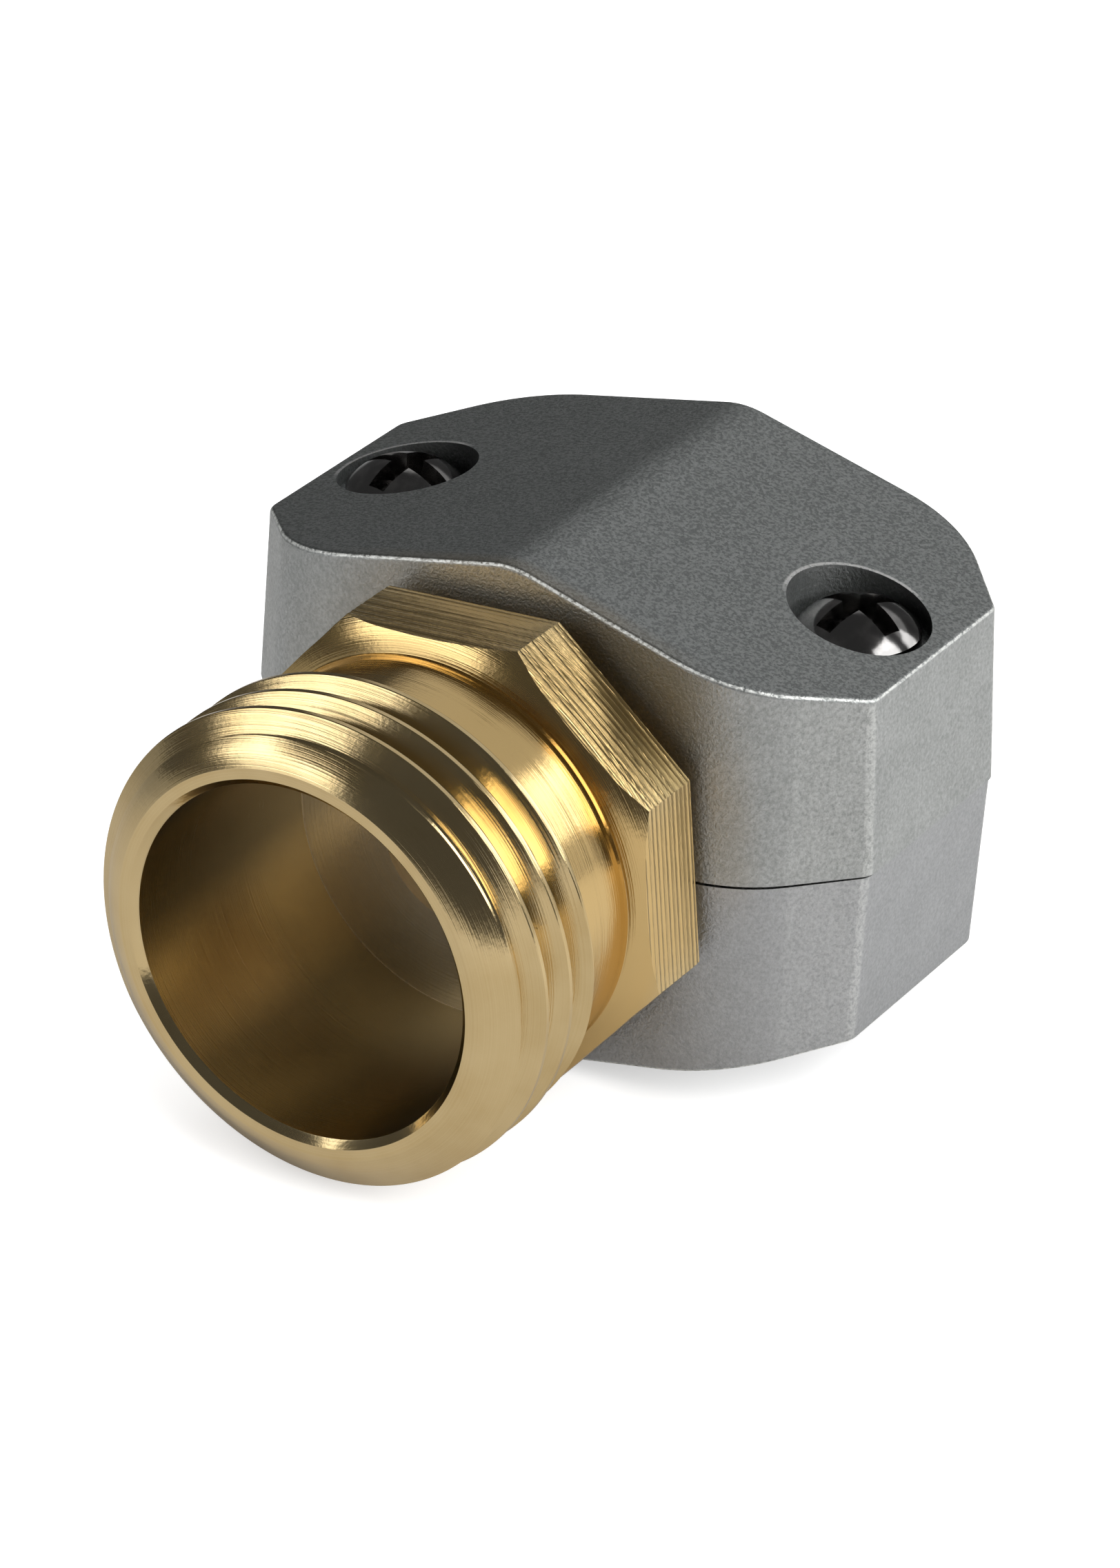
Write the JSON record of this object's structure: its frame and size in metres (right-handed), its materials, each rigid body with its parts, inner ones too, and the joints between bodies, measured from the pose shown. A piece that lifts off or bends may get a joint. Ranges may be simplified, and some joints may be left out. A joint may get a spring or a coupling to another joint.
{
  "type": "hose mender",
  "caption": "Male hose mender: turned threaded coupling with octagon nut and ringed shank, held in a two-piece die-cast clamp that two screws close on the hose.",
  "frame": {"origin": "on the water axis, at the middle of the male thread", "axes": "+Y along the water axis from the male thread towards the hose, +Z through the upper clamp half where the screw heads are, +X towards the right ear seen from the thread end"},
  "size_m": [0.039, 0.0439, 0.0296],
  "materials": {
    "brass": "turned, satin to bright, with fine milled lines on the octagon's flats",
    "casting": "die-cast and blasted, matt grey and finely grained",
    "screws": "plated, smooth and dark grey"
  },
  "bodies": {
    "lower": {"clamp_lower": "casting"},
    "upper": {"clamp_upper": "casting"},
    "coupling": {"male_coupling": "brass"},
    "left_screw": {"screw_left": "screws"},
    "right_screw": {"screw_right": "screws"}
  },
  "joints": [
    {"name": "clamp_open", "type": "slide", "parent": "lower", "child": "upper", "axis": [0, 0, 1], "range_m": [0, 0.00595]},
    {"name": "screw_left_turn", "type": "hinge", "parent": "upper", "child": "left_screw", "pos_m": [-0.0143, 0.02712, 0], "axis": [0, 0, 1], "range_deg": [0, 2700]},
    {"name": "screw_right_turn", "type": "hinge", "parent": "upper", "child": "right_screw", "pos_m": [0.0143, 0.02712, 0], "axis": [0, 0, 1], "range_deg": [0, 2700]},
    {"name": "coupling_swivel", "type": "hinge", "parent": "lower", "child": "coupling", "pos_m": [0, 0.01827, 0], "axis": [0, 1, 0], "continuous": true}
  ],
  "couplings": [
    {"joint": "screw_left_turn", "follows": "clamp_open", "rad_per_m": 7915.8},
    {"joint": "screw_right_turn", "follows": "clamp_open", "rad_per_m": 7915.8}
  ]
}
